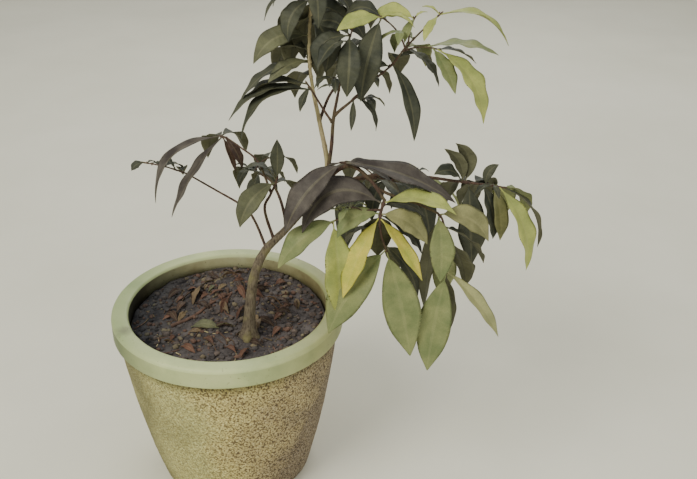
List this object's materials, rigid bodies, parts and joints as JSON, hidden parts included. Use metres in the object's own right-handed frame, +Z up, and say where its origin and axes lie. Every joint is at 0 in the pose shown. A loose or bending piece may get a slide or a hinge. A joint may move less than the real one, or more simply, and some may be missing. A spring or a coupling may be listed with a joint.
{
  "type": "potted rose apple tree",
  "caption": "Young fruit tree with long drooping leaves on a leaning stem, standing in a tapered planter with a rough body and a pale smooth rim band.",
  "frame": {"origin": "centre of the pot's flat underside", "axes": "+Z up, +X to the viewer's right in the picture, -Y toward the viewer"},
  "size_m": [0.5458, 0.343, 0.7211],
  "materials": {
    "pot": "rough washed-aggregate planter body, tan and cream with dark specks",
    "rim": "smooth pale rim band with a soft sheen and a faint stain",
    "soil": "dark crumbly soil with dry leaf litter",
    "bark": "grey-brown young bark with fine cracks",
    "dark_leaf": "leathery dark leaf with a soft gloss",
    "green_leaf": "leathery pale green to golden leaf with a soft gloss"
  },
  "bodies": {
    "root": {"pot_body": "pot", "pot_rim": "rim", "soil": "soil", "trunk": "bark", "bough_leader": "bark", "bough_second": "bark", "bough_upper_left": "bark", "bough_upper_right": "bark", "bough_right_front": "bark", "bough_right_low": "bark", "bough_right_far": "bark", "bough_centre": "bark", "bough_left_low": "bark", "bough_left_inner": "bark", "bough_left_arch": "bark", "bough_back": "bark", "bough_back_left": "bark", "bough_back_upper": "bark", "foliage_top": "dark_leaf", "foliage_upper_left": "dark_leaf", "foliage_upper_middle": "dark_leaf", "foliage_upper_right": "green_leaf", "foliage_right_front": "green_leaf", "foliage_right_low": "green_leaf", "foliage_right_far": "dark_leaf", "foliage_centre": "dark_leaf", "foliage_left_low": "dark_leaf", "foliage_left_inner": "dark_leaf", "foliage_left_arch": "dark_leaf", "foliage_back": "dark_leaf", "foliage_back_left": "dark_leaf", "foliage_back_upper": "dark_leaf"}
  },
  "joints": []
}
